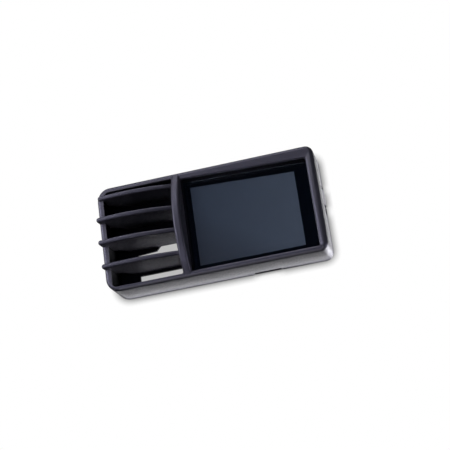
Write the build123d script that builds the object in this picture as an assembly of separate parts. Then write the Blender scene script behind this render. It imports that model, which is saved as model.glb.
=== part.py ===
from build123d import *
import math
import os

# Air-vent insert with a 3.2 inch vehicle display.
#
# Design frame, in millimetres: x runs right from the left outer wall, y runs back from the
# flat bezel face, z runs up from the underside of the bottom wall.  Every shape is drawn in
# that frame, and save() moves it to the part's own frame: origin on the underside, in the
# middle of the outline, with the screen facing -Y.

# ---- housing ------------------------------------------------------------------------------
WIDTH = 137.5               # outer width
HEIGHT = 67.0               # outer height
DEPTH = 24.0                # bezel face to rear rim
TOP_WALL = 3.0              # top wall over the vent
LEFT_WALL = 4.0             # side wall at the vent end
BOTTOM_WALL = 2.6           # wall under the vent
LEFT_CORNER = 8.5           # outline radius at the two left corners
RIGHT_CORNER = 5.0          # outline radius at the two right corners
FRONT_ROUND = 2.4           # rounding along the outer front edge
BOW = 10.5                  # how far the divider's front stands proud of the bezel face

VENT_LOW_CORNER = 2.5       # inner corner at the vent's lower left

DIVIDER_LEFT = 48.8
DIVIDER_RIGHT = 54.0

# ---- vent ---------------------------------------------------------------------------------
FIN_COUNT = 4
FIN_PITCH = 14.8
LOWEST_FIN_Z = 15.9         # middle plane of the lowest fin
FIN_THICKNESS = 3.0
FIN_NOSE_X = [0.7, -0.5, -0.65, -0.65]      # left tips, top fin first
FIN_LEFT_Y = [-1.4, -4.6, -5.2, -3.4]       # noses at the left tip
FIN_MID_Y = [-2.6, -5.6, -6.0, -4.7]        # noses half way along
FIN_RIGHT_Y = [2.0, 0.8, -0.9, -1.2]        # noses where they meet the divider
FIN_TIP_ROUND = 1.6
FIN_REAR = 21.4             # fins end here, against the baffle
FIN_SWEEP_START = 11.0      # depth of the swept rear corner at the left wall
FIN_SWEEP_LENGTH = 15.0     # width of that swept corner
BAFFLE = (21.4, 23.2)       # front and back of the rear baffle plate
BAFFLE_OPEN_LEFT = 16.4     # left side of the two air passages in it
BAFFLE_BAR = (12.7, 17.0)   # the bar between the passages, behind the lowest fin
BAFFLE_STEP = (28.8, 27.0)  # where the upper passage's top edge turns up to the right
BAFFLE_OPEN_HEIGHT = 26.3   # height of the upper passage at its left side
BAFFLE_SLOPE = 46.0         # degrees; its sloping upper edge, right of the step

# ---- screen opening and display -----------------------------------------------------------
OPENING_RIGHT = 132.2
OPENING_BOTTOM = 3.4
OPENING_TOP_LEFT = 62.5     # the top rail is narrower over the left end
OPENING_TOP_RIGHT = 59.4
OPENING_CORNER = 1.2
INNER_ROUND_LOW = (2.8, 2.6)        # inner edge at the right: width and depth, lower end
INNER_ROUND_HIGH = (1.5, 1.5)       # the same, upper end
INNER_ROUND_BOTTOM = 1.2            # inner edge along the bottom
INNER_ROUND_TOP = 0.9               # inner edge along the top
LENS_Y = (7.0, 8.0)
PRINT_Y = (8.0, 8.2)        # black border printed on the lens's back
GASKET_Y = (8.2, 8.7)
CELL_Y = (8.7, 10.2)
GUIDE_Y = (10.2, 12.1)
TRAY_Y = (8.7, 12.5)
TRAY_WALL = 0.35

MODULE_WIDTH = 77.2         # 3.2 inch module outline
MODULE_HEIGHT = 55.0
MODULE_LEFT = 54.5
MODULE_BOTTOM = 4.75
ACTIVE_WIDTH = 64.8         # 3.2 inch 4:3 active area, 48.6 high
ACTIVE_LEFT = 58.4
ACTIVE_BOTTOM = 7.9
INK_TOP_LEFT = 58.2         # top of the clear window in the black border, which falls to the
INK_TOP_RIGHT = 54.7        # right with the opening's top edge
LENS_LEFT, LENS_RIGHT = 54.25, 131.95
LENS_BOTTOM = 3.65
LENS_GAP = 0.25             # between the lens's top edge and the opening
BAY_GAP = 0.25              # clearance between the module and the bay around it

# ---- electronics --------------------------------------------------------------------------
BOARD_Y = (14.4, 16.0)
BOARD_LEFT, BOARD_RIGHT = 61.5, 126.0
BOARD_BOTTOM, BOARD_TOP = 6.5, 57.5
BOARD_HOLES = [(65.0, 10.0), (122.5, 10.0), (65.0, 54.0), (122.5, 54.0)]
BOARD_HOLE_RADIUS = 1.2
STANDOFF_RADIUS = 2.0
SOCKET_X = (72.0, 88.0)
SOCKET_Z = (11.0, 19.6)
SOCKET_WALL = 1.2
SOCKET_FLOOR = 1.5
PIN_COUNT = 4
PIN_PITCH = 3.0
PIN_SIZE = 0.64
PIN_TIP_Y = 19.3
BUTTON_X, BUTTON_Z = 112.0, 14.0
BUTTON_BODY = 6.0
BUTTON_BODY_BACK = 19.4
BUTTON_CAP_RADIUS = 1.7
BUTTON_TIP_Y = 22.0
BUTTON_TRAVEL = 0.3

# ---- rear cover ---------------------------------------------------------------------------
COVER_Y = (20.5, 22.5)
COVER_GAP = 0.25
REBATE_LEFT, REBATE_RIGHT = 50.5, 136.1
REBATE_BOTTOM, REBATE_TOP = 2.2, 65.2
REBATE_CORNER = 3.5
SCREW_SPOTS = [(52.6, 7.0), (134.2, 7.0), (52.6, 61.6), (134.2, 61.6)]
SCREW_RADIUS = 0.95         # board and cover screws alike
SCREW_HEAD_RADIUS = 1.75
SCREW_HEAD_HEIGHT = 1.0
SCREW_TIP_Y = 14.5

# ---- snap latches in the side walls -------------------------------------------------------
LATCH_Z = (33.1, 43.1)
LATCH_GAP = 0.5
LATCH_THICKNESS = 2.0
LATCH_PIVOT_Y = 9.5
LATCH_END_Y = 23.6
LATCH_HOOK = 0.7
LATCH_POCKET = 3.7          # depth of the pocket that the right-hand latch lies in
LATCH_RELIEF_Y = (18.0, 22.8)       # relief pockets above and below the tongue's hook
LATCH_RELIEF_Z = (27.4, 46.4)
LATCH_LEFT_POCKET = 3.3     # the same on the left, where a thin skin is left towards the vent

# ---- pry notch in the bottom wall's rear edge ---------------------------------------------
NOTCH_X = (87.0, 106.0)
NOTCH_FRONT_Y = 20.0
LIP_X = (88.1, 104.9)       # the cover's lip, which hangs in the notch
LIP_Y = (22.8, 23.6)
LIP_Z = (0.1, 4.2)
NOTCH_SLANT = 1.6

PLACE = Location((-WIDTH / 2, (BOW - DEPTH) / 2, 0))


# ---- helpers ------------------------------------------------------------------------------
def block(x, y, z):
    """A box from three (low, high) pairs."""
    size = [high - low for low, high in (x, y, z)]
    middle = [(high + low) / 2 for low, high in (x, y, z)]
    return Pos(*middle) * Box(*size)


def slab(outline, y):
    """An outline drawn in x and z, as a plate from y[0] back to y[1]."""
    plane = Plane(origin=(0, y[1], 0), x_dir=(1, 0, 0), z_dir=(0, -1, 0))
    return extrude(plane * outline, amount=y[1] - y[0])


def window(x, z, radius):
    """A rectangle in x and z with rounded corners."""
    middle = Pos((x[0] + x[1]) / 2, (z[0] + z[1]) / 2)
    return middle * RectangleRounded(x[1] - x[0], z[1] - z[0], radius)


def rod(spot, radius, y):
    """A round bar along y at an (x, z) spot."""
    return Pos(spot[0], (y[0] + y[1]) / 2, spot[1]) * Rot(90, 0, 0) * Cylinder(radius, y[1] - y[0])


def cone(spot, front_radius, back_radius, y):
    """A cone frustum along y at an (x, z) spot."""
    turn = Rot(-90, 0, 0)
    return Pos(spot[0], (y[0] + y[1]) / 2, spot[1]) * turn * Cone(front_radius, back_radius, y[1] - y[0])


def group(solids):
    """Separate solids kept together as one node."""
    return Compound(children=list(solids))


def save(name, shape):
    shape = PLACE * shape
    shape.label = name
    export_step(shape, f"parts/{name}.step")


# ---- housing ------------------------------------------------------------------------------
def outer_outline():
    """The housing's outline, with larger corners at the vent end."""
    shape = Polygon((0, 0), (WIDTH, 0), (WIDTH, HEIGHT), (0, HEIGHT), align=None)
    left = shape.vertices().filter_by(lambda v: v.X < WIDTH / 2)
    shape = fillet(left, LEFT_CORNER)
    right = shape.vertices().sort_by(Axis.X)[-2:]
    return fillet(right, RIGHT_CORNER)


def vent_outline():
    """The air passage between the left wall and the divider."""
    low_x, high_x, low_z, high_z = LEFT_WALL, DIVIDER_LEFT, BOTTOM_WALL, HEIGHT - TOP_WALL
    shape = Polygon((low_x, low_z), (high_x, low_z), (high_x, high_z), (low_x, high_z), align=None)
    left = shape.vertices().sort_by(Axis.X)[:2].sort_by(Axis.Y)
    shape = fillet(left[1], LEFT_CORNER - LEFT_WALL)
    shape = fillet(shape.vertices().sort_by_distance((low_x, low_z, 0))[0], VENT_LOW_CORNER)
    right = shape.vertices().sort_by(Axis.X)[-2:]
    return fillet(right, 1.0)


def falling_top(x, bottom, tops):
    """An outline in x and z whose top edge falls from tops[0] at the left to tops[1]."""
    corners = [(x[0], bottom), (x[1], bottom), (x[1], tops[1]), (x[0], tops[0])]
    return Polygon(*corners, align=None)


def screen_opening():
    """The front opening, whose top edge falls a little to the right."""
    tops = (OPENING_TOP_LEFT, OPENING_TOP_RIGHT)
    shape = falling_top((DIVIDER_RIGHT, OPENING_RIGHT), OPENING_BOTTOM, tops)
    return fillet(shape.vertices(), OPENING_CORNER)


def rounding(spot, width, depth):
    """Points of a convex elliptical edge from the face at `width` back to `depth`."""
    ease = 1 - math.sqrt(0.5)
    corner, way = spot
    start = (corner + way * width, 0)
    middle = (corner + way * width * ease, depth * ease)
    return ThreePointArc(start, middle, (corner, depth))


def right_rounding():
    """Cuts the broad rounded inner edge at the right, wider towards the bottom."""
    def profile(z, width, depth):
        arc = rounding((OPENING_RIGHT, 1), width, depth)
        rest = Polyline(
            (OPENING_RIGHT, depth),
            (OPENING_RIGHT - 0.5, depth),
            (OPENING_RIGHT - 0.5, -0.5),
            (OPENING_RIGHT + width, -0.5),
            (OPENING_RIGHT + width, 0),
        )
        return Plane.XY.offset(z) * make_face(Curve() + [arc, rest])
    low = profile(OPENING_BOTTOM, *INNER_ROUND_LOW)
    high = profile(OPENING_TOP_RIGHT, *INNER_ROUND_HIGH)
    return loft([low, high])


def bottom_rounding():
    """Cuts the small round along the opening's bottom edge."""
    size = INNER_ROUND_BOTTOM
    arc = rounding((OPENING_BOTTOM, -1), size, size)
    rest = Polyline(
        (OPENING_BOTTOM, size),
        (OPENING_BOTTOM + 0.3, size),
        (OPENING_BOTTOM + 0.3, -0.5),
        (OPENING_BOTTOM - size, -0.5),
        (OPENING_BOTTOM - size, 0),
    )
    flip = Plane(origin=(DIVIDER_RIGHT, 0, 0), x_dir=(0, 0, 1), z_dir=(-1, 0, 0))
    return extrude(flip * make_face(Curve() + [arc, rest]), amount=DIVIDER_RIGHT - OPENING_RIGHT)


def top_rounding():
    """Cuts the small round along the opening's top edge."""
    def profile(x, edge):
        size = INNER_ROUND_TOP
        arc = rounding((edge, 1), size, size)
        rest = Polyline(
            (edge, size), (edge - 0.3, size), (edge - 0.3, -0.5), (edge + size, -0.5), (edge + size, 0)
        )
        flip = Plane(origin=(x, 0, 0), x_dir=(0, 0, 1), z_dir=(-1, 0, 0))
        return flip * make_face(Curve() + [arc, rest])
    left = profile(DIVIDER_RIGHT, OPENING_TOP_LEFT)
    right = profile(OPENING_RIGHT, OPENING_TOP_RIGHT)
    return loft([left, right])


def divider_crest():
    """The part of the divider that stands proud of the bezel, an upright arc."""
    arc = ThreePointArc((0, 1.6), (-BOW, HEIGHT / 2), (0, HEIGHT - 1.6))
    back = Polyline((0, HEIGHT - 1.6), (2.0, HEIGHT - 1.6), (2.0, 1.6), (0, 1.6))
    profile = Plane.YZ.offset(DIVIDER_LEFT) * make_face(Curve() + [arc, back])
    crest = extrude(profile, amount=DIVIDER_RIGHT - DIVIDER_LEFT)
    front = crest.edges().filter_by(GeomType.CIRCLE)
    return fillet(front, 1.5)


def latch_window(right):
    """The pocket in a side wall that a latch lies in, open at the rear rim."""
    z = (LATCH_Z[0] - LATCH_GAP, LATCH_Z[1] + LATCH_GAP)
    y = (LATCH_PIVOT_Y - LATCH_THICKNESS / 2 - 0.3, DEPTH + 1)
    x = (WIDTH - LATCH_POCKET, WIDTH + 1) if right else (-1, LATCH_LEFT_POCKET)
    relief = block(x, LATCH_RELIEF_Y, LATCH_RELIEF_Z)
    return block(x, y, z) + relief


def pry_notch():
    """A shallow notch with slanted ends in the rear edge of the bottom wall."""
    low, high = NOTCH_X
    shape = Polygon(
        (low + NOTCH_SLANT, NOTCH_FRONT_Y),
        (high - NOTCH_SLANT, NOTCH_FRONT_Y),
        (high, DEPTH + 1),
        (low, DEPTH + 1),
        align=None,
    )
    return extrude(Plane.XY.offset(-1) * shape, amount=REBATE_BOTTOM + 1)


def bezel_frame():
    shell = slab(outer_outline(), (0, DEPTH))
    front_loop = shell.faces().sort_by(Axis.Y)[0].edges()
    shell = fillet(front_loop, FRONT_ROUND)
    shell -= slab(vent_outline(), (-1, DEPTH + 1))
    shell += divider_crest()
    shell -= slab(screen_opening(), (-1, PRINT_Y[1]))
    shell -= right_rounding()
    shell -= bottom_rounding()
    shell -= top_rounding()
    bay_x = (MODULE_LEFT - BAY_GAP, MODULE_LEFT + MODULE_WIDTH + BAY_GAP)
    bay_z = (MODULE_BOTTOM - BAY_GAP, MODULE_BOTTOM + MODULE_HEIGHT + BAY_GAP)
    shell -= slab(window(bay_x, bay_z, 0.8), (PRINT_Y[1], DEPTH + 1))
    rebate = window((REBATE_LEFT, REBATE_RIGHT), (REBATE_BOTTOM, REBATE_TOP), REBATE_CORNER)
    shell -= slab(rebate, (COVER_Y[0], DEPTH + 1))
    shell -= latch_window(True)
    shell -= latch_window(False)
    shell -= pry_notch()
    for spot in SCREW_SPOTS:
        shell -= rod(spot, SCREW_RADIUS, (SCREW_TIP_Y, COVER_Y[0] + 0.1))
    return shell


# ---- vent ---------------------------------------------------------------------------------
def louvre_fin(index, frame):
    """One fixed fin: a bowed blade with a round nose, lapping over the left wall."""
    z = LOWEST_FIN_Z + (FIN_COUNT - 1 - index) * FIN_PITCH
    nose = (FIN_NOSE_X[index], FIN_LEFT_Y[index])
    middle = (DIVIDER_LEFT * 0.48, FIN_MID_Y[index])
    right = (DIVIDER_LEFT, FIN_RIGHT_Y[index])
    sweep_end = LEFT_WALL + FIN_SWEEP_LENGTH
    front = ThreePointArc(nose, middle, right)
    sides = Polyline(right, (DIVIDER_LEFT, FIN_REAR), (sweep_end, FIN_REAR))
    sweep = Spline(
        (sweep_end, FIN_REAR), (LEFT_WALL, FIN_SWEEP_START), tangents=[(-1, 0), (-1, -0.25)]
    )
    lap = Polyline((LEFT_WALL, FIN_SWEEP_START), (LEFT_WALL, 1.5), (nose[0] + 0.3, 1.5), nose)
    plan = make_face(Curve() + [front, sides, sweep, lap])
    plan = fillet(plan.vertices().sort_by_distance((*nose, 0))[0], FIN_TIP_ROUND)
    blade = extrude(Plane.XY.offset(z - FIN_THICKNESS / 2) * plan, amount=FIN_THICKNESS)
    level = blade.edges().filter_by(lambda e: e.bounding_box().size.Z < 0.01)
    front_edges = level.filter_by(lambda e: e.bounding_box().max.Y < 2.1 and e.bounding_box().min.Y < 0)
    blade = fillet(front_edges, FIN_THICKNESS / 2 - 0.12)
    return blade - frame


def air_baffle():
    """The rear plate behind the fins, with two air passages at its lower right."""
    step_x, step_z = BAFFLE_STEP
    rise = math.tan(math.radians(BAFFLE_SLOPE)) * (DIVIDER_LEFT - step_x)
    upper = Polygon(
        (BAFFLE_OPEN_LEFT, BAFFLE_BAR[1]),
        (DIVIDER_LEFT + 1, BAFFLE_BAR[1]),
        (DIVIDER_LEFT + 1, step_z + rise),
        (DIVIDER_LEFT, step_z + rise),
        BAFFLE_STEP,
        (BAFFLE_OPEN_LEFT, BAFFLE_OPEN_HEIGHT),
        align=None,
    )
    plate = slab(vent_outline(), BAFFLE)
    plate -= slab(upper, (BAFFLE[0] - 1, BAFFLE[1] + 1))
    x = (BAFFLE_OPEN_LEFT, DIVIDER_LEFT + 1)
    return plate - block(x, (BAFFLE[0] - 1, BAFFLE[1] + 1), (BOTTOM_WALL - 1, BAFFLE_BAR[0]))


# ---- display ------------------------------------------------------------------------------
def module_window(margin, radius=0.8):
    x = (MODULE_LEFT - margin, MODULE_LEFT + MODULE_WIDTH + margin)
    z = (MODULE_BOTTOM - margin, MODULE_BOTTOM + MODULE_HEIGHT + margin)
    return window(x, z, radius)


def active_window(margin):
    """The clear window over the active area, grown by a margin."""
    x = (ACTIVE_LEFT - margin, ACTIVE_LEFT + ACTIVE_WIDTH + margin)
    tops = (INK_TOP_LEFT + margin, INK_TOP_RIGHT + margin)
    return falling_top(x, ACTIVE_BOTTOM - margin, tops)


def lens_outline():
    """The lens fills the opening, with a gap to its top edge."""
    tops = (OPENING_TOP_LEFT - LENS_GAP, OPENING_TOP_RIGHT - LENS_GAP)
    shape = falling_top((LENS_LEFT, LENS_RIGHT), LENS_BOTTOM, tops)
    return fillet(shape.vertices(), OPENING_CORNER)


def touch_lens():
    return slab(lens_outline(), LENS_Y)


def lens_border_print():
    return slab(lens_outline(), PRINT_Y) - slab(active_window(0.3), PRINT_Y)


def foam_gasket():
    return slab(module_window(-0.3), GASKET_Y) - slab(active_window(0.5), GASKET_Y)


def lcd_cell():
    return slab(module_window(-TRAY_WALL, 0.5), CELL_Y)


def light_guide():
    return slab(module_window(-TRAY_WALL, 0.5), GUIDE_Y)


def display_tray():
    tray = slab(module_window(0), TRAY_Y)
    return tray - slab(module_window(-TRAY_WALL, 0.5), (TRAY_Y[0] - 1, GUIDE_Y[1]))


def lcd_flex():
    """The ribbon from the display, stepping back past the board's edge."""
    z = (22.0, 42.0)
    film = 0.2
    turn_x = BOARD_RIGHT + 1.6
    back_y = BOARD_Y[1] + 1.1
    on_tray = block((turn_x, turn_x + 3.4), (TRAY_Y[1], TRAY_Y[1] + film), z)
    riser = block((turn_x, turn_x + film), (TRAY_Y[1], back_y), z)
    tail = block((turn_x - 5.2, turn_x + film), (back_y - film, back_y), z)
    return on_tray + riser + tail


# ---- electronics --------------------------------------------------------------------------
def standoff(spot):
    post = rod(spot, STANDOFF_RADIUS, (TRAY_Y[1], BOARD_Y[0]))
    return post - rod(spot, SCREW_RADIUS + 0.05, (TRAY_Y[1] + 0.3, BOARD_Y[0] + 0.1))


def board_screw(spot):
    """A pan-head screw with a straight slot."""
    shank = rod(spot, SCREW_RADIUS, (TRAY_Y[1] + 0.5, BOARD_Y[1]))
    head = rod(spot, 1.9, (BOARD_Y[1], BOARD_Y[1] + 1.3))
    head = fillet(head.edges().sort_by(Axis.Y)[-1], 0.5)
    slot_y = (BOARD_Y[1] + 0.8, BOARD_Y[1] + 2)
    slot = block((spot[0] - 1.2, spot[0] + 1.2), slot_y, (spot[1] - 0.25, spot[1] + 0.25))
    return shank + head - slot


def pin_places():
    middle = sum(SOCKET_X) / 2
    start = middle - PIN_PITCH * (PIN_COUNT - 1) / 2
    return [start + PIN_PITCH * i for i in range(PIN_COUNT)]


def pin(x, grow=0.0):
    half = PIN_SIZE / 2 + grow
    z = sum(SOCKET_Z) / 2
    return block((x - half, x + half), (BOARD_Y[0] - 0.9, PIN_TIP_Y), (z - half, z + half))


def harness_socket():
    """The keyed header that the vehicle harness plugs into."""
    y = (BOARD_Y[1], DEPTH)
    body = block(SOCKET_X, y, SOCKET_Z)
    body = fillet(body.edges().filter_by(Axis.Y), 0.6)
    inside_x = (SOCKET_X[0] + SOCKET_WALL, SOCKET_X[1] - SOCKET_WALL)
    inside_z = (SOCKET_Z[0] + SOCKET_WALL, SOCKET_Z[1] - SOCKET_WALL)
    body -= block(inside_x, (BOARD_Y[1] + SOCKET_FLOOR, DEPTH + 1), inside_z)
    middle = sum(SOCKET_X) / 2
    key = (SOCKET_Z[1] - SOCKET_WALL - 0.1, SOCKET_Z[1] + 0.1)
    body -= block((middle - 2, middle + 2), (DEPTH - 3.2, DEPTH + 1), key)
    for x in pin_places():
        body -= pin(x)
    return body


def main_board():
    board = slab(window((BOARD_LEFT, BOARD_RIGHT), (BOARD_BOTTOM, BOARD_TOP), 2.0), BOARD_Y)
    for spot in BOARD_HOLES:
        board -= rod(spot, BOARD_HOLE_RADIUS, (BOARD_Y[0] - 1, BOARD_Y[1] + 1))
    for x in pin_places():
        board -= rod((x, sum(SOCKET_Z) / 2), PIN_SIZE, (BOARD_Y[0] - 1, BOARD_Y[1] + 1))
    return board


def chip(x, z, width, height, thickness, legs=0, pitch=0.8):
    """A chip body lying on the board's back, with gull-wing legs along two sides."""
    y = (BOARD_Y[1] + 0.1, BOARD_Y[1] + 0.1 + thickness)
    half_w, half_h = width / 2, height / 2
    body = block((x - half_w, x + half_w), y, (z - half_h, z + half_h))
    body = chamfer(body.faces().sort_by(Axis.Y)[-1].edges(), 0.2)
    for i in range(legs):
        leg_z = z + (i - (legs - 1) / 2) * pitch
        span = (x - half_w - 0.9, x + half_w + 0.9)
        body += block(span, (BOARD_Y[1], BOARD_Y[1] + 0.3), (leg_z - 0.15, leg_z + 0.15))
    return body


def microcontroller():
    body = chip(100.0, 34.0, 12.0, 12.0, 1.4, legs=13)
    for i in range(13):
        x = 100.0 + (i - 6) * 0.8
        body += block((x - 0.15, x + 0.15), (BOARD_Y[1], BOARD_Y[1] + 0.3), (27.1, 40.9))
    return body


def bus_transceiver():
    return chip(82.0, 28.0, 3.9, 4.9, 1.4, legs=4, pitch=1.27)


def voltage_regulator():
    """A regulator with its wide cooling tab at the top."""
    body = chip(70.5, 30.0, 6.4, 6.0, 2.2, legs=0)
    body += block((67.9, 73.1), (BOARD_Y[1], BOARD_Y[1] + 0.5), (30.0, 34.4))
    for x in (68.8, 72.2):
        body += block((x - 0.4, x + 0.4), (BOARD_Y[1], BOARD_Y[1] + 0.5), (24.8, 28.0))
    return body


def power_inductor():
    y = (BOARD_Y[1], BOARD_Y[1] + 3.2)
    body = block((66.5, 73.5), y, (40.5, 47.5))
    body = chamfer(body.edges().filter_by(Axis.Y), 1.2)
    return fillet(body.faces().sort_by(Axis.Y)[-1].edges(), 0.4)


def capacitors():
    """Ceramic chip capacitors around the power stage and the microcontroller."""
    spots = [(77.5, 41.0), (77.5, 44.5), (77.5, 48.0), (78.5, 33.0), (85.5, 33.5)]
    spots += [(91.0, 24.5), (96.0, 24.5), (104.0, 24.5), (109.0, 28.0), (109.0, 39.0), (94.0, 44.0)]
    y = (BOARD_Y[1], BOARD_Y[1] + 1.3)
    return group(block((x - 1.6, x + 1.6), y, (z - 0.8, z + 0.8)) for x, z in spots)


def crystal():
    y = (BOARD_Y[1], BOARD_Y[1] + 1.2)
    can = block((100.0, 105.0), y, (43.6, 46.8))
    return fillet(can.edges().filter_by(Axis.Y), 0.5)


def surge_diode():
    body = chip(82.0, 22.8, 4.4, 2.8, 2.1)
    return body + block((79.0, 85.0), (BOARD_Y[1], BOARD_Y[1] + 0.4), (22.0, 23.6))


def warning_buzzer():
    spot = (86.0, 50.0)
    can = rod(spot, 4.5, (BOARD_Y[1], BOARD_Y[1] + 3.4))
    can = fillet(can.edges().sort_by(Axis.Y)[-1], 0.4)
    return can - rod(spot, 0.9, (BOARD_Y[1] + 2.4, BOARD_Y[1] + 4))


def flex_connector():
    body = block((119.8, 124.6), (BOARD_Y[1], BOARD_Y[1] + 2.0), (20.6, 43.4))
    slot = block((122.2, 125.0), (BOARD_Y[1] + 0.85, BOARD_Y[1] + 1.15), (21.9, 42.1))
    return body - slot


def button_body():
    half = BUTTON_BODY / 2
    y = (BOARD_Y[1], BUTTON_BODY_BACK)
    body = block((BUTTON_X - half, BUTTON_X + half), y, (BUTTON_Z - half, BUTTON_Z + half))
    body = chamfer(body.edges().filter_by(Axis.Y), 0.5)
    bore = (BUTTON_BODY_BACK - 1.4, BUTTON_BODY_BACK + 1)
    return body - rod((BUTTON_X, BUTTON_Z), BUTTON_CAP_RADIUS + 0.06, bore)


def button_cap():
    """The plunger, with room under its foot for the travel."""
    foot = BUTTON_BODY_BACK - 1.4 + BUTTON_TRAVEL + 0.15
    cap = rod((BUTTON_X, BUTTON_Z), BUTTON_CAP_RADIUS, (foot, BUTTON_TIP_Y))
    return fillet(cap.edges().sort_by(Axis.Y)[-1], 0.4)


# ---- rear cover ---------------------------------------------------------------------------
def rear_cover():
    gap = COVER_GAP
    x = (REBATE_LEFT + gap, REBATE_RIGHT - gap)
    z = (REBATE_BOTTOM + gap, REBATE_TOP - gap)
    plate = slab(window(x, z, REBATE_CORNER - gap), COVER_Y)
    through = (COVER_Y[0] - 1, COVER_Y[1] + 1)
    latch_room = (LATCH_Z[0] - 1.2, LATCH_Z[1] + 1.2)
    plate -= block((WIDTH - LATCH_POCKET - 0.3, WIDTH), through, latch_room)
    socket_x = (SOCKET_X[0] - 0.4, SOCKET_X[1] + 0.4)
    socket_z = (SOCKET_Z[0] - 0.4, SOCKET_Z[1] + 0.4)
    plate -= slab(window(socket_x, socket_z, 0.8), through)
    plate -= rod((BUTTON_X, BUTTON_Z), BUTTON_CAP_RADIUS + 0.5, through)
    for i in range(7):
        slot_x = 84.0 + i * 5.0
        plate -= slab(window((slot_x, slot_x + 1.8), (34.0, 52.0), 0.85), through)
    for spot in SCREW_SPOTS:
        plate -= rod(spot, SCREW_RADIUS + 0.2, through)
        sink = (COVER_Y[1] - SCREW_HEAD_HEIGHT, COVER_Y[1])
        plate -= cone(spot, SCREW_RADIUS + 0.2, SCREW_HEAD_RADIUS + 0.15, sink)
    root = (LIP_Z[1] - 1.3, LIP_Z[1])
    lip = block(LIP_X, LIP_Y, LIP_Z) + block(LIP_X, (COVER_Y[1] - 0.2, LIP_Y[1]), root)
    top_edges = lip.edges().filter_by(Axis.X).sort_by(Axis.Z)[-2:]
    return plate + fillet(top_edges.sort_by(Axis.Y)[-1], 0.8)


def cover_screw(spot):
    """A self-tapping screw with a countersunk cross-slot head."""
    shank = rod(spot, SCREW_RADIUS, (SCREW_TIP_Y + 0.4, COVER_Y[1] - SCREW_HEAD_HEIGHT))
    head = cone(spot, SCREW_RADIUS, SCREW_HEAD_RADIUS, (COVER_Y[1] - SCREW_HEAD_HEIGHT, COVER_Y[1]))
    depth = (COVER_Y[1] - 0.5, COVER_Y[1] + 1)
    long, thin = 1.1, 0.22
    across = block((spot[0] - long, spot[0] + long), depth, (spot[1] - thin, spot[1] + thin))
    upright = block((spot[0] - thin, spot[0] + thin), depth, (spot[1] - long, spot[1] + long))
    return shank + head - across - upright


# ---- latches ------------------------------------------------------------------------------
def snap_latch(right):
    """A springy tongue in a side wall, hooked outwards near its free end."""
    outer = WIDTH if right else 0.0
    way = 1 if right else -1
    inner = outer - way * LATCH_THICKNESS
    radius = LATCH_THICKNESS / 2
    pivot = (outer - way * radius, LATCH_PIVOT_Y)
    root = ThreePointArc(
        (inner, LATCH_PIVOT_Y), (pivot[0], LATCH_PIVOT_Y - radius), (outer, LATCH_PIVOT_Y)
    )
    edge = Polyline(
        (outer, LATCH_PIVOT_Y),
        (outer, 16.8),
        (outer + way * LATCH_HOOK, 20.2),
        (outer + way * LATCH_HOOK, 20.9),
        (outer, 22.0),
        (outer, LATCH_END_Y),
        (inner, LATCH_END_Y),
        (inner, LATCH_PIVOT_Y),
    )
    plan = make_face(Curve() + [root, edge])
    return extrude(Plane.XY.offset(LATCH_Z[0]) * plan, amount=LATCH_Z[1] - LATCH_Z[0])


# ---- the whole part -----------------------------------------------------------------------
def main():
    os.makedirs("parts", exist_ok=True)
    frame = bezel_frame()
    save("bezel_frame", frame)
    for i in range(FIN_COUNT):
        save(f"louvre_fin_{i + 1}", louvre_fin(i, frame))
    save("air_baffle", air_baffle())
    save("touch_lens", touch_lens())
    save("lens_border_print", lens_border_print())
    save("foam_gasket", foam_gasket())
    save("lcd_cell", lcd_cell())
    save("light_guide", light_guide())
    save("display_tray", display_tray())
    save("lcd_flex", lcd_flex())
    save("board_standoffs", group(standoff(spot) for spot in BOARD_HOLES))
    save("board_screws", group(board_screw(spot) for spot in BOARD_HOLES))
    save("main_board", main_board())
    save("harness_socket", harness_socket())
    save("harness_pins", group(pin(x) for x in pin_places()))
    save("microcontroller", microcontroller())
    save("bus_transceiver", bus_transceiver())
    save("voltage_regulator", voltage_regulator())
    save("power_inductor", power_inductor())
    save("capacitors", capacitors())
    save("crystal", crystal())
    save("surge_diode", surge_diode())
    save("warning_buzzer", warning_buzzer())
    save("flex_connector", flex_connector())
    save("button_body", button_body())
    save("button_cap", button_cap())
    save("rear_cover", rear_cover())
    save("cover_screws", group(cover_screw(spot) for spot in SCREW_SPOTS))
    save("snap_latch_left", snap_latch(False))
    save("snap_latch_right", snap_latch(True))


main()
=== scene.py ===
import math

import bpy
from mathutils import Matrix, Vector


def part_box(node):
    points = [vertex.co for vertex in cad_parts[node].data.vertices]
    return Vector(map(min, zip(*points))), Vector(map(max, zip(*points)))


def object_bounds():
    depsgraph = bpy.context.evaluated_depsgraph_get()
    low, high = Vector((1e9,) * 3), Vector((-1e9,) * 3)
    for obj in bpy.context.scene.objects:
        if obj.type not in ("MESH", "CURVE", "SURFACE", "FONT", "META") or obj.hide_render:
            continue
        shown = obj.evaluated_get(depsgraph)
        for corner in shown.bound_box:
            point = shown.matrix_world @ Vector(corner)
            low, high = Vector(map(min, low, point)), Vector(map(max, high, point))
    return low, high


MM = 0.001

# ---- the CAD frame ------------------------------------------------------------------------
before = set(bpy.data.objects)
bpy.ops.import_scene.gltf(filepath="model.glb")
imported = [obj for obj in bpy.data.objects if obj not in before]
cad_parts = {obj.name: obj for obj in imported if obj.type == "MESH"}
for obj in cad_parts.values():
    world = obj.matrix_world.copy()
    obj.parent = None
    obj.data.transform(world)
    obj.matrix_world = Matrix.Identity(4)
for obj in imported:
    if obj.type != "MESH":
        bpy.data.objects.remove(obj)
cad_low, cad_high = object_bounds()
middle = (cad_low + cad_high) / 2
REAR = cad_high.y                       # the rear rim, against the table of the photo
DEPTH = 24.0 * MM
FACE = REAR - DEPTH                     # the flat bezel face


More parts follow.
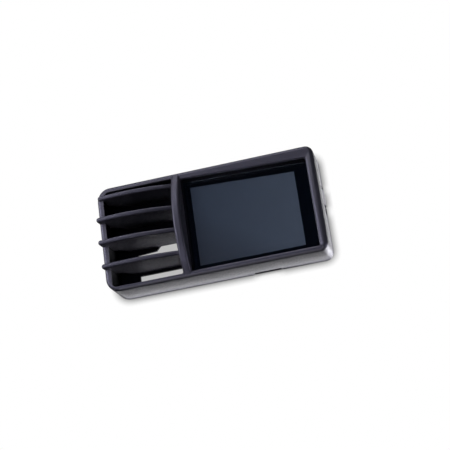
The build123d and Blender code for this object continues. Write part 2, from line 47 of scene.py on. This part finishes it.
# ---- camera -------------------------------------------------------------------------------
# It looks at the face from a little below and to the right, and is tilted on its own axis.
CAMERA_AZIMUTH = 11.43
CAMERA_ELEVATION = -18.88
CAMERA_DISTANCE = 0.731
LOOK_AZIMUTH = 10.77
LOOK_ELEVATION = -18.63
ROLL = 8.14
LENS_MM = 96.0


def outwards(azimuth, elevation):
    """The direction from the object to a viewer at an azimuth and elevation in degrees."""
    a, e = math.radians(azimuth), math.radians(elevation)
    return Vector((math.sin(a) * math.cos(e), -math.cos(a) * math.cos(e), math.sin(e)))


def make_camera():
    data = bpy.data.cameras.new("camera")
    data.lens = LENS_MM
    data.clip_start = 0.01
    data.clip_end = 20.0
    camera = bpy.data.objects.new("camera", data)
    bpy.context.scene.collection.objects.link(camera)
    camera.location = middle + outwards(CAMERA_AZIMUTH, CAMERA_ELEVATION) * CAMERA_DISTANCE
    look = outwards(LOOK_AZIMUTH, LOOK_ELEVATION)
    level = look.to_track_quat("Z", "Y").to_matrix()
    camera.rotation_mode = "QUATERNION"
    camera.rotation_quaternion = (level @ Matrix.Rotation(math.radians(-ROLL), 3, "Z")).to_quaternion()
    bpy.context.scene.camera = camera


# ---- node helpers -------------------------------------------------------------------------
def new_material(name):
    """A material with an empty tree but for its output, and a function that adds nodes to it."""
    material = bpy.data.materials.new(name)
    material.use_nodes = True
    tree = material.node_tree
    tree.nodes.clear()
    out = tree.nodes.new("ShaderNodeOutputMaterial")

    def add(kind, values=(), **settings):
        node = tree.nodes.new("ShaderNode" + kind)
        for key, value in settings.items():
            setattr(node, key, value)
        for key, value in dict(values).items():
            if isinstance(value, bpy.types.NodeSocket):
                tree.links.new(value, node.inputs[key])
            else:
                node.inputs[key].default_value = value
        return node

    return material, tree, out, add


def noise(add, place, scale, detail=3.0, rough=0.5, stretch=None):
    """A noise value in the object's own coordinates, stretched by a factor on each axis."""
    if stretch:
        place = add("Mapping", {"Vector": place, "Scale": stretch}).outputs["Vector"]
    values = {"Vector": place, "Scale": scale, "Detail": detail, "Roughness": rough}
    return add("TexNoise", values).outputs["Fac"]


def spread(add, value, low, high):
    """Maps the middle of a noise's range to low..high."""
    values = {"Value": value, "From Min": 0.3, "From Max": 0.7, "To Min": low, "To Max": high}
    return add("MapRange", values).outputs["Result"]


def blend(add, factor, a, b):
    """A colour between a and b, each (r, g, b)."""
    node = add("Mix", data_type="RGBA")
    tree = node.id_data
    tree.links.new(factor, node.inputs["Factor"])
    for index, colour in ((6, a), (7, b)):
        if isinstance(colour, bpy.types.NodeSocket):
            tree.links.new(colour, node.inputs[index])
        else:
            node.inputs[index].default_value = (*colour, 1.0)
    return node.outputs[2]


def object_place(add):
    return add("TexCoord").outputs["Object"]


# ---- materials ----------------------------------------------------------------------------
BLACK = (0.0045, 0.0043, 0.0062)
BLACK_PALE = (0.0075, 0.0072, 0.0098)
SHEEN_TINT = (0.70, 0.68, 1.0)
PAINTED_SHADE_BLACK = (0.0006, 0.0006, 0.0012)         # painted shade inside the recess and on the baffle, drawn almost black
PAINTED_SHADE_PALE = (0.001, 0.001, 0.0015)
# painted shade on the sheen: reflections tinted down inside the recess
PAINTED_SHADE_SHEEN = (0.10, 0.10, 0.16)
DEEP_ROUGHNESS = 0.95
# The box where the housing is painted darker, as shade:
RECESS_LEFT = 0.2 * MM                  # the dark box reaches this far past the baffle,
RECESS_DEPTH = 1.8 * MM                 # starts this far behind the face,
RECESS_SIDE = 0.8 * MM                  # and goes this far past the glass at its side and bottom
RECESS_TOP = 1.9 * MM                   # and this far above it


def inside(add, place, box):
    """1 inside the box, 0 elsewhere."""
    low, high = box
    split = add("SeparateXYZ", {"Vector": place})
    found = None
    for axis in "XYZ":
        here = split.outputs[axis]
        for corner, side in ((low, "GREATER_THAN"), (high, "LESS_THAN")):
            edge = getattr(corner, axis.lower())
            test = add("Math", {0: here, 1: edge}, operation=side).outputs["Value"]
            if found:
                test = add("Math", {0: found, 1: test}, operation="MULTIPLY").outputs["Value"]
            found = test
    return found


def moulded_plastic(
    name, dark, light, rough=(0.42, 0.58), grain=0.35, streak=None, specular=0.45, recess=None, worn=True
):
    """Matte plastic with a fine powdery grain, faint cloudiness and, where worn, paler edges.

    A streak stretches the cloudiness and adds lines. Inside the recess box the colour and sheen are painted
    darker, as shade, and the surface is duller.
    """
    material, tree, out, add = new_material(name)
    place = object_place(add)
    cloud = noise(add, place, 60.0, 4.0, 0.6, streak)
    fine = noise(add, place, 2600.0, 2.0, 0.6)
    pits = noise(add, place, 900.0, 2.0, 0.5)
    colour = blend(add, spread(add, cloud, 0.0, 1.0), dark, light)
    if worn:
        point = add("NewGeometry").outputs["Pointiness"]
        edge = add("MapRange", {"Value": point, "From Min": 0.52, "From Max": 0.60}).outputs["Result"]
        colour = blend(add, edge, colour, tuple(c * 2.0 + 0.012 for c in light))
    height = add("Math", {0: fine, 1: pits}, operation="ADD").outputs["Value"]
    if streak:
        lines = noise(add, place, 700.0, 3.0, 0.6, streak)
        height = add("Math", {0: height, 1: lines}, operation="ADD").outputs["Value"]
    bump = add("Bump", {"Strength": grain, "Distance": 0.00012, "Height": height})
    roughness = spread(add, pits, *rough)
    # Painted shade: inside the recess box the colour turns almost black and the surface duller.
    if recess:
        recess_shade = inside(add, place, recess)
        colour = blend(add, recess_shade, colour, PAINTED_SHADE_BLACK)
        ends = {"Value": recess_shade, "To Min": roughness, "To Max": DEEP_ROUGHNESS}
        roughness = add("MapRange", ends).outputs["Result"]
    values = {
        "Base Color": colour,
        "Roughness": roughness,
        "Normal": bump.outputs["Normal"],
        "Specular IOR Level": specular,
        "Specular Tint": (*SHEEN_TINT, 1.0),
    }
    surface = add("BsdfPrincipled", values)
    # Painted shade on the sheen: reflections tinted down inside the recess box.
    if recess:
        tint = blend(add, recess_shade, SHEEN_TINT, PAINTED_SHADE_SHEEN)
        tree.links.new(tint, surface.inputs["Specular Tint"])
    tree.links.new(surface.outputs["BSDF"], out.inputs["Surface"])
    return material


def smooth_plastic(name, dark, light, rough=(0.2, 0.3), metallic=0.0, scale=400.0, bump=0.05):
    """A plain moulded, coated or plated surface with slight unevenness."""
    material, tree, out, add = new_material(name)
    place = object_place(add)
    cloud = noise(add, place, scale)
    fine = noise(add, place, scale * 6)
    colour = blend(add, spread(add, cloud, 0.0, 1.0), dark, light)
    relief = add("Bump", {"Strength": bump, "Distance": 0.0001, "Height": fine})
    values = {
        "Base Color": colour,
        "Roughness": spread(add, fine, *rough),
        "Normal": relief.outputs["Normal"],
        "Metallic": metallic,
    }
    surface = add("BsdfPrincipled", values)
    tree.links.new(surface.outputs["BSDF"], out.inputs["Surface"])
    return material


def lens_glass():
    """Thin clear glass: tinted where it is seen through, mirroring more at a slant."""
    material, tree, out, add = new_material("lens_glass")
    place = object_place(add)
    smear = noise(add, place, 90.0, 5.0, 0.65)
    clear = add("BsdfTransparent", {"Color": (0.86, 0.89, 0.93, 1.0)})
    gloss = add("BsdfPrincipled", {"Base Color": (0.9, 0.93, 1.0, 1.0), "Metallic": 1.0})
    tree.links.new(spread(add, smear, 0.085, 0.1), gloss.inputs["Roughness"])
    bend = add("Fresnel", {"IOR": 1.5})
    mix = add("MixShader", {0: bend.outputs["Fac"], 1: clear.outputs["BSDF"], 2: gloss.outputs["BSDF"]})
    tree.links.new(mix.outputs["Shader"], out.inputs["Surface"])
    return material


def lcd_panel():
    """The switched-off panel: slate blue, with a painted reflection that makes it paler to the right and
    dark at the lower left, faint cells.
    """
    material, tree, out, add = new_material("lcd_panel")
    place = object_place(add)
    low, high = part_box("lcd_cell")
    split = add("SeparateXYZ", {"Vector": place})
    # Painted reflection: the panel grows paler to the right.
    across = add("MapRange", {"Value": split.outputs["X"], "From Min": low.x, "From Max": high.x})
    colour = blend(add, across.outputs["Result"], (0.040, 0.047, 0.064), (0.085, 0.095, 0.118))
    # Painted reflection: darker towards the lower left.
    upright = add("MapRange", {"Value": split.outputs["Z"], "From Min": low.z, "From Max": high.z})
    both = {0: upright.outputs["Result"], 1: across.outputs["Result"]}
    from_lower_left = add("Math", both, operation="ADD").outputs["Value"]
    corner = add("MapRange", {"Value": from_lower_left, "From Min": 0.1, "From Max": 0.8})
    colour = blend(add, corner.outputs["Result"], (0.027, 0.028, 0.036), colour)
    cells = noise(add, place, 4000.0, 1.0)
    colour = blend(add, spread(add, cells, 0.0, 0.12), colour, (0.12, 0.13, 0.16))
    values = {
        "Base Color": colour,
        "Roughness": 0.32,
        "Specular IOR Level": 0.3,
        "Coat Weight": 0.3,
        "Coat Roughness": 0.18,
    }
    surface = add("BsdfPrincipled", values)
    tree.links.new(surface.outputs["BSDF"], out.inputs["Surface"])
    return material


def board_laminate():
    """Green solder mask with faint traces running under it."""
    material, tree, out, add = new_material("board_laminate")
    place = object_place(add)
    traces = add("TexBrick", {"Vector": place, "Scale": 260.0, "Mortar Size": 0.03})
    traces.inputs["Color1"].default_value = (0.008, 0.045, 0.024, 1.0)
    traces.inputs["Color2"].default_value = (0.010, 0.052, 0.028, 1.0)
    traces.inputs["Mortar"].default_value = (0.020, 0.085, 0.045, 1.0)
    fine = noise(add, place, 900.0)
    relief = add("Bump", {"Strength": 0.1, "Distance": 0.00005, "Height": traces.outputs["Fac"]})
    values = {
        "Base Color": traces.outputs["Color"],
        "Roughness": spread(add, fine, 0.28, 0.4),
        "Normal": relief.outputs["Normal"],
    }
    surface = add("BsdfPrincipled", values)
    tree.links.new(surface.outputs["BSDF"], out.inputs["Surface"])
    return material


def recess_box():
    """The part of the housing behind its face, from the vent's left to the screen's right, where it is
    painted darker, as shade.
    """
    lens_low, lens_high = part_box("touch_lens")
    vent_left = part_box("air_baffle")[0].x
    low = Vector((vent_left - RECESS_LEFT, FACE + RECESS_DEPTH, lens_low.z - RECESS_SIDE))
    high = Vector((lens_high.x + RECESS_SIDE, REAR, lens_high.z + RECESS_TOP))
    return low, high


def dress_cad_nodes():
    """Gives every CAD node its material."""
    housing = moulded_plastic("housing", BLACK, BLACK_PALE, recess=recess_box())
    fins = moulded_plastic("fins", BLACK, BLACK_PALE, streak=(0.12, 1.0, 1.0), grain=0.8)
    # The baffle is painted near-black, as shade at the back of the vent.
    baffle = moulded_plastic("baffle", PAINTED_SHADE_BLACK, PAINTED_SHADE_PALE, specular=0.1, worn=False)
    # Black plastic, painted darker still so the lip in the pry notch reads as shade.
    cover = moulded_plastic("cover", (0.003, 0.003, 0.004), (0.006, 0.006, 0.007), specular=0.2, worn=False)
    ink = smooth_plastic("ink", (0.0008, 0.0016, 0.004), (0.001, 0.002, 0.005), (0.2, 0.25))
    foam = smooth_plastic("foam", (0.008, 0.008, 0.008), (0.014, 0.014, 0.014), (0.85, 0.95), bump=0.5)
    zinc = smooth_plastic("black_zinc", (0.03, 0.03, 0.033), (0.06, 0.06, 0.065), (0.3, 0.42), 0.9)
    chip = smooth_plastic("chip", (0.012, 0.012, 0.013), (0.02, 0.02, 0.021), (0.35, 0.5))
    steel = smooth_plastic("steel", (0.45, 0.45, 0.46), (0.6, 0.6, 0.61), (0.25, 0.4), 1.0)
    brass = smooth_plastic("brass", (0.55, 0.38, 0.13), (0.7, 0.5, 0.2), (0.25, 0.35), 1.0)
    looks = {
        "bezel_frame": housing,
        "snap_latch_left": housing,
        "snap_latch_right": housing,
        "air_baffle": baffle,
        "rear_cover": cover,
        "touch_lens": lens_glass(),
        "lens_border_print": ink,
        "foam_gasket": foam,
        "lcd_cell": lcd_panel(),
        "light_guide": smooth_plastic("guide", (0.75, 0.76, 0.74), (0.82, 0.83, 0.8)),
        "display_tray": steel,
        "lcd_flex": smooth_plastic("film", (0.35, 0.13, 0.03), (0.45, 0.18, 0.05)),
        "board_standoffs": brass,
        "board_screws": steel,
        "cover_screws": zinc,
        "main_board": board_laminate(),
        "harness_socket": smooth_plastic("nylon", (0.014, 0.014, 0.016), (0.02, 0.02, 0.022), (0.4, 0.5)),
        "harness_pins": smooth_plastic("tin", (0.6, 0.58, 0.52), (0.7, 0.68, 0.62), (0.2, 0.3), 1.0),
        "microcontroller": chip,
        "bus_transceiver": chip,
        "voltage_regulator": chip,
        "surge_diode": chip,
        "power_inductor": smooth_plastic("powder", (0.04, 0.04, 0.042), (0.07, 0.07, 0.072), (0.5, 0.6)),
        "capacitors": smooth_plastic("ceramic", (0.30, 0.21, 0.12), (0.38, 0.27, 0.16), (0.4, 0.5)),
        "crystal": steel,
        "warning_buzzer": chip,
        "flex_connector": smooth_plastic("ivory", (0.6, 0.56, 0.44), (0.68, 0.64, 0.52), (0.35, 0.45)),
        "button_body": steel,
        "button_cap": smooth_plastic("button", (0.02, 0.02, 0.022), (0.03, 0.03, 0.032), (0.4, 0.5)),
    }
    for name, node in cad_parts.items():
        look = fins if name.startswith("louvre_fin") else looks[name]
        if not node.material_slots:
            node.data.materials.append(look)
        for slot in node.material_slots:
            slot.material = look


# ---- stage --------------------------------------------------------------------------------
CONTACT_REACH = 5 * MM                  # how far the contact shadow spreads
CONTACT_DARK = 0.2                      # how bright it is at its darkest,
CONTACT_FULL = 0.42                     # where this much of the surroundings is open, or less
VENT_GLOW = 0.5                         # painted shade: the table inside the vent, a flat glow as bright as the table shaded by the object
STAGE_REACH = 3.0
TABLE_GAP = 0.2 * MM                    # between the rear rim and the table
VENT_VIEW_GAP = 0.05 * MM               # between the table and the patch seen through the vent
VENT_LIGHT_GAP = 0.1 * MM               # between the table and the hidden patch that bounces light


def one_sided(name, add_front):
    """A stage material that is seen from its front only, with the shader that add_front makes."""
    material, tree, out, add = new_material(name)
    front = add_front(add)
    back = add("BsdfTransparent")
    side = add("NewGeometry").outputs["Backfacing"]
    mix = add("MixShader", {0: side, 1: front.outputs[0], 2: back.outputs[0]})
    tree.links.new(mix.outputs["Shader"], out.inputs["Surface"])
    return material


def white_surface(add):
    """Even white, with a soft contact shadow beside whatever stands or lies on it."""
    near = add("AmbientOcclusion", {"Distance": CONTACT_REACH}, samples=16)
    ends = {"Value": near.outputs["AO"], "From Min": CONTACT_FULL, "To Min": CONTACT_DARK}
    soft = add("MapRange", ends)
    return add("Emission", {"Strength": soft.outputs["Result"]})


def matt_surface(add):
    return add("BsdfDiffuse", {"Color": (0.93, 0.93, 0.93, 1.0)})


# A flat glow, painted at the brightness of the table in the object's shade.
def painted_shade_glow(add):
    return add("Emission", {"Strength": VENT_GLOW})


def stage_plane(name, corners, add_front, bounces, seen=True):
    """A plane that casts no shadow. It bounces light onto the object only if told to."""
    mesh = bpy.data.meshes.new(name)
    mesh.from_pydata(corners, [], [(0, 1, 2, 3)])
    plane = bpy.data.objects.new(name, mesh)
    bpy.context.scene.collection.objects.link(plane)
    mesh.materials.append(one_sided(name, add_front))
    plane.visible_camera = seen
    plane.visible_diffuse = bounces
    plane.visible_glossy = bounces
    plane.visible_transmission = False
    plane.visible_shadow = False


def make_stage():
    """The table behind the object, as in the photo, and the floor that it stands on."""
    far = STAGE_REACH
    back = REAR + TABLE_GAP
    table = [(-far, back, -far), (far, back, -far), (far, back, far), (-far, back, far)]
    floor = [(-far, -far, 0), (far, -far, 0), (far, far, 0), (-far, far, 0)]
    stage_plane("table", table, white_surface, False)
    stage_plane("floor", floor, white_surface, False)
    low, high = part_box("air_baffle")
    patch = [(low.x, low.z), (high.x, low.z), (high.x, high.z), (low.x, high.z)]
    view = [(x, back - VENT_VIEW_GAP, z) for x, z in patch]
    stage_plane("table_in_vent", view, painted_shade_glow, False)
    lit = [(x, back - VENT_LIGHT_GAP, z) for x, z in patch]
    stage_plane("light_in_vent", lit, matt_surface, True, seen=False)


# ---- lights -------------------------------------------------------------------------------
WORLD_STRENGTH = 0.03
DARK_STRENGTH = 0.005
DARK_AZIMUTH = -20.0
DARK_ELEVATION = 24.0
DARK_CORE = 5.0
DARK_EDGE = 45.0
FRONT_PLACE = (0.0, -1.3, 0.05)
FRONT_SIZE = (0.5, 0.5)
FRONT_POWER = 12.5
LAMP_DISTANCE = 1.0
# name, azimuth, elevation, size in metres, power
LAMPS = [
    ("key", -42.0, 24.0, (0.35, 0.6), 5.0),
    ("high", -25.0, 52.0, (0.5, 0.2), 4.0),
    ("top", -5.0, 78.0, (0.5, 0.12), 3.5),
    ("left", -62.0, 10.0, (0.2, 0.6), 11.0),
    ("low", -20.0, -32.0, (0.5, 0.3), 4.0),
    ("right", 76.0, -22.0, (0.1, 0.3), 5.0),
    ("rear", 138.0, -15.0, (0.6, 0.4), 14.0),
]
BOUNCE = 14.5                           # power for each metre of length and of width
BOUNCE_GAP = 2.5 * MM                   # from the housing to the middle of the strip
BOUNCE_WIDTH = 3 * MM
BOUNCE_BELOW = 0.15                     # lengths of the strips under and beside the housing
BOUNCE_BESIDE = 0.075
BOUNCE_BACK = 0.1 * MM                  # in front of the rear rim


def area_light(name, place, target, size, power):
    data = bpy.data.lights.new(name, "AREA")
    data.shape = "RECTANGLE"
    data.size, data.size_y = size
    data.energy = power
    lamp = bpy.data.objects.new(name, data)
    bpy.context.scene.collection.objects.link(lamp)
    lamp.location = place
    aim = Vector(target) - Vector(place)
    lamp.rotation_mode = "QUATERNION"
    lamp.rotation_quaternion = (-aim).to_track_quat("Z", "Y")
    lamp.visible_camera = False
    return lamp


def make_world():
    """White to the camera. Its light is dim, and dimmer still in a soft patch in front."""
    world = bpy.data.worlds.new("studio")
    bpy.context.scene.world = world
    world.use_nodes = True
    tree = world.node_tree
    tree.nodes.clear()
    out = tree.nodes.new("ShaderNodeOutputWorld")
    place = tree.nodes.new("ShaderNodeTexCoord")
    near = tree.nodes.new("ShaderNodeVectorMath")
    near.operation = "DOT_PRODUCT"
    near.inputs[1].default_value = outwards(DARK_AZIMUTH, DARK_ELEVATION)
    tree.links.new(place.outputs["Generated"], near.inputs[0])
    ramp = tree.nodes.new("ShaderNodeMapRange")
    ramp.interpolation_type = "SMOOTHSTEP"
    ramp.inputs["From Min"].default_value = math.cos(math.radians(DARK_EDGE))
    ramp.inputs["From Max"].default_value = math.cos(math.radians(DARK_CORE))
    ramp.inputs["To Min"].default_value = WORLD_STRENGTH
    ramp.inputs["To Max"].default_value = DARK_STRENGTH
    tree.links.new(near.outputs["Value"], ramp.inputs["Value"])
    seen = tree.nodes.new("ShaderNodeBackground")
    light = tree.nodes.new("ShaderNodeBackground")
    seen.inputs["Color"].default_value = (1.0, 1.0, 1.0, 1.0)
    light.inputs["Color"].default_value = (0.96, 0.97, 1.0, 1.0)
    tree.links.new(ramp.outputs["Result"], light.inputs["Strength"])
    path = tree.nodes.new("ShaderNodeLightPath")
    mix = tree.nodes.new("ShaderNodeMixShader")
    tree.links.new(path.outputs["Is Camera Ray"], mix.inputs[0])
    tree.links.new(light.outputs["Background"], mix.inputs[1])
    tree.links.new(seen.outputs["Background"], mix.inputs[2])
    tree.links.new(mix.outputs["Shader"], out.inputs["Surface"])


def make_lights():
    make_world()
    front = area_light("front", FRONT_PLACE, middle, FRONT_SIZE, FRONT_POWER)
    front.visible_glossy = False
    for name, azimuth, elevation, size, power in LAMPS:
        area_light(name, middle + outwards(azimuth, elevation) * LAMP_DISTANCE, middle, size, power)
    back = REAR - BOUNCE_BACK
    power = BOUNCE * BOUNCE_WIDTH
    forwards = Vector((0, -1, 0))
    below = Vector((middle.x, back, cad_low.z - BOUNCE_GAP))
    strip = (BOUNCE_BELOW, BOUNCE_WIDTH)
    area_light("bounce_below", below, below + forwards, strip, power * BOUNCE_BELOW)
    beside = Vector((cad_high.x + BOUNCE_GAP, back, middle.z))
    strip = (BOUNCE_WIDTH, BOUNCE_BESIDE)
    area_light("bounce_right", beside, beside + forwards, strip, power * BOUNCE_BESIDE)


# ---- make everything ----------------------------------------------------------------------
make_camera()
make_stage()
make_lights()
dress_cad_nodes()
bpy.context.scene.view_settings.view_transform = "Standard"
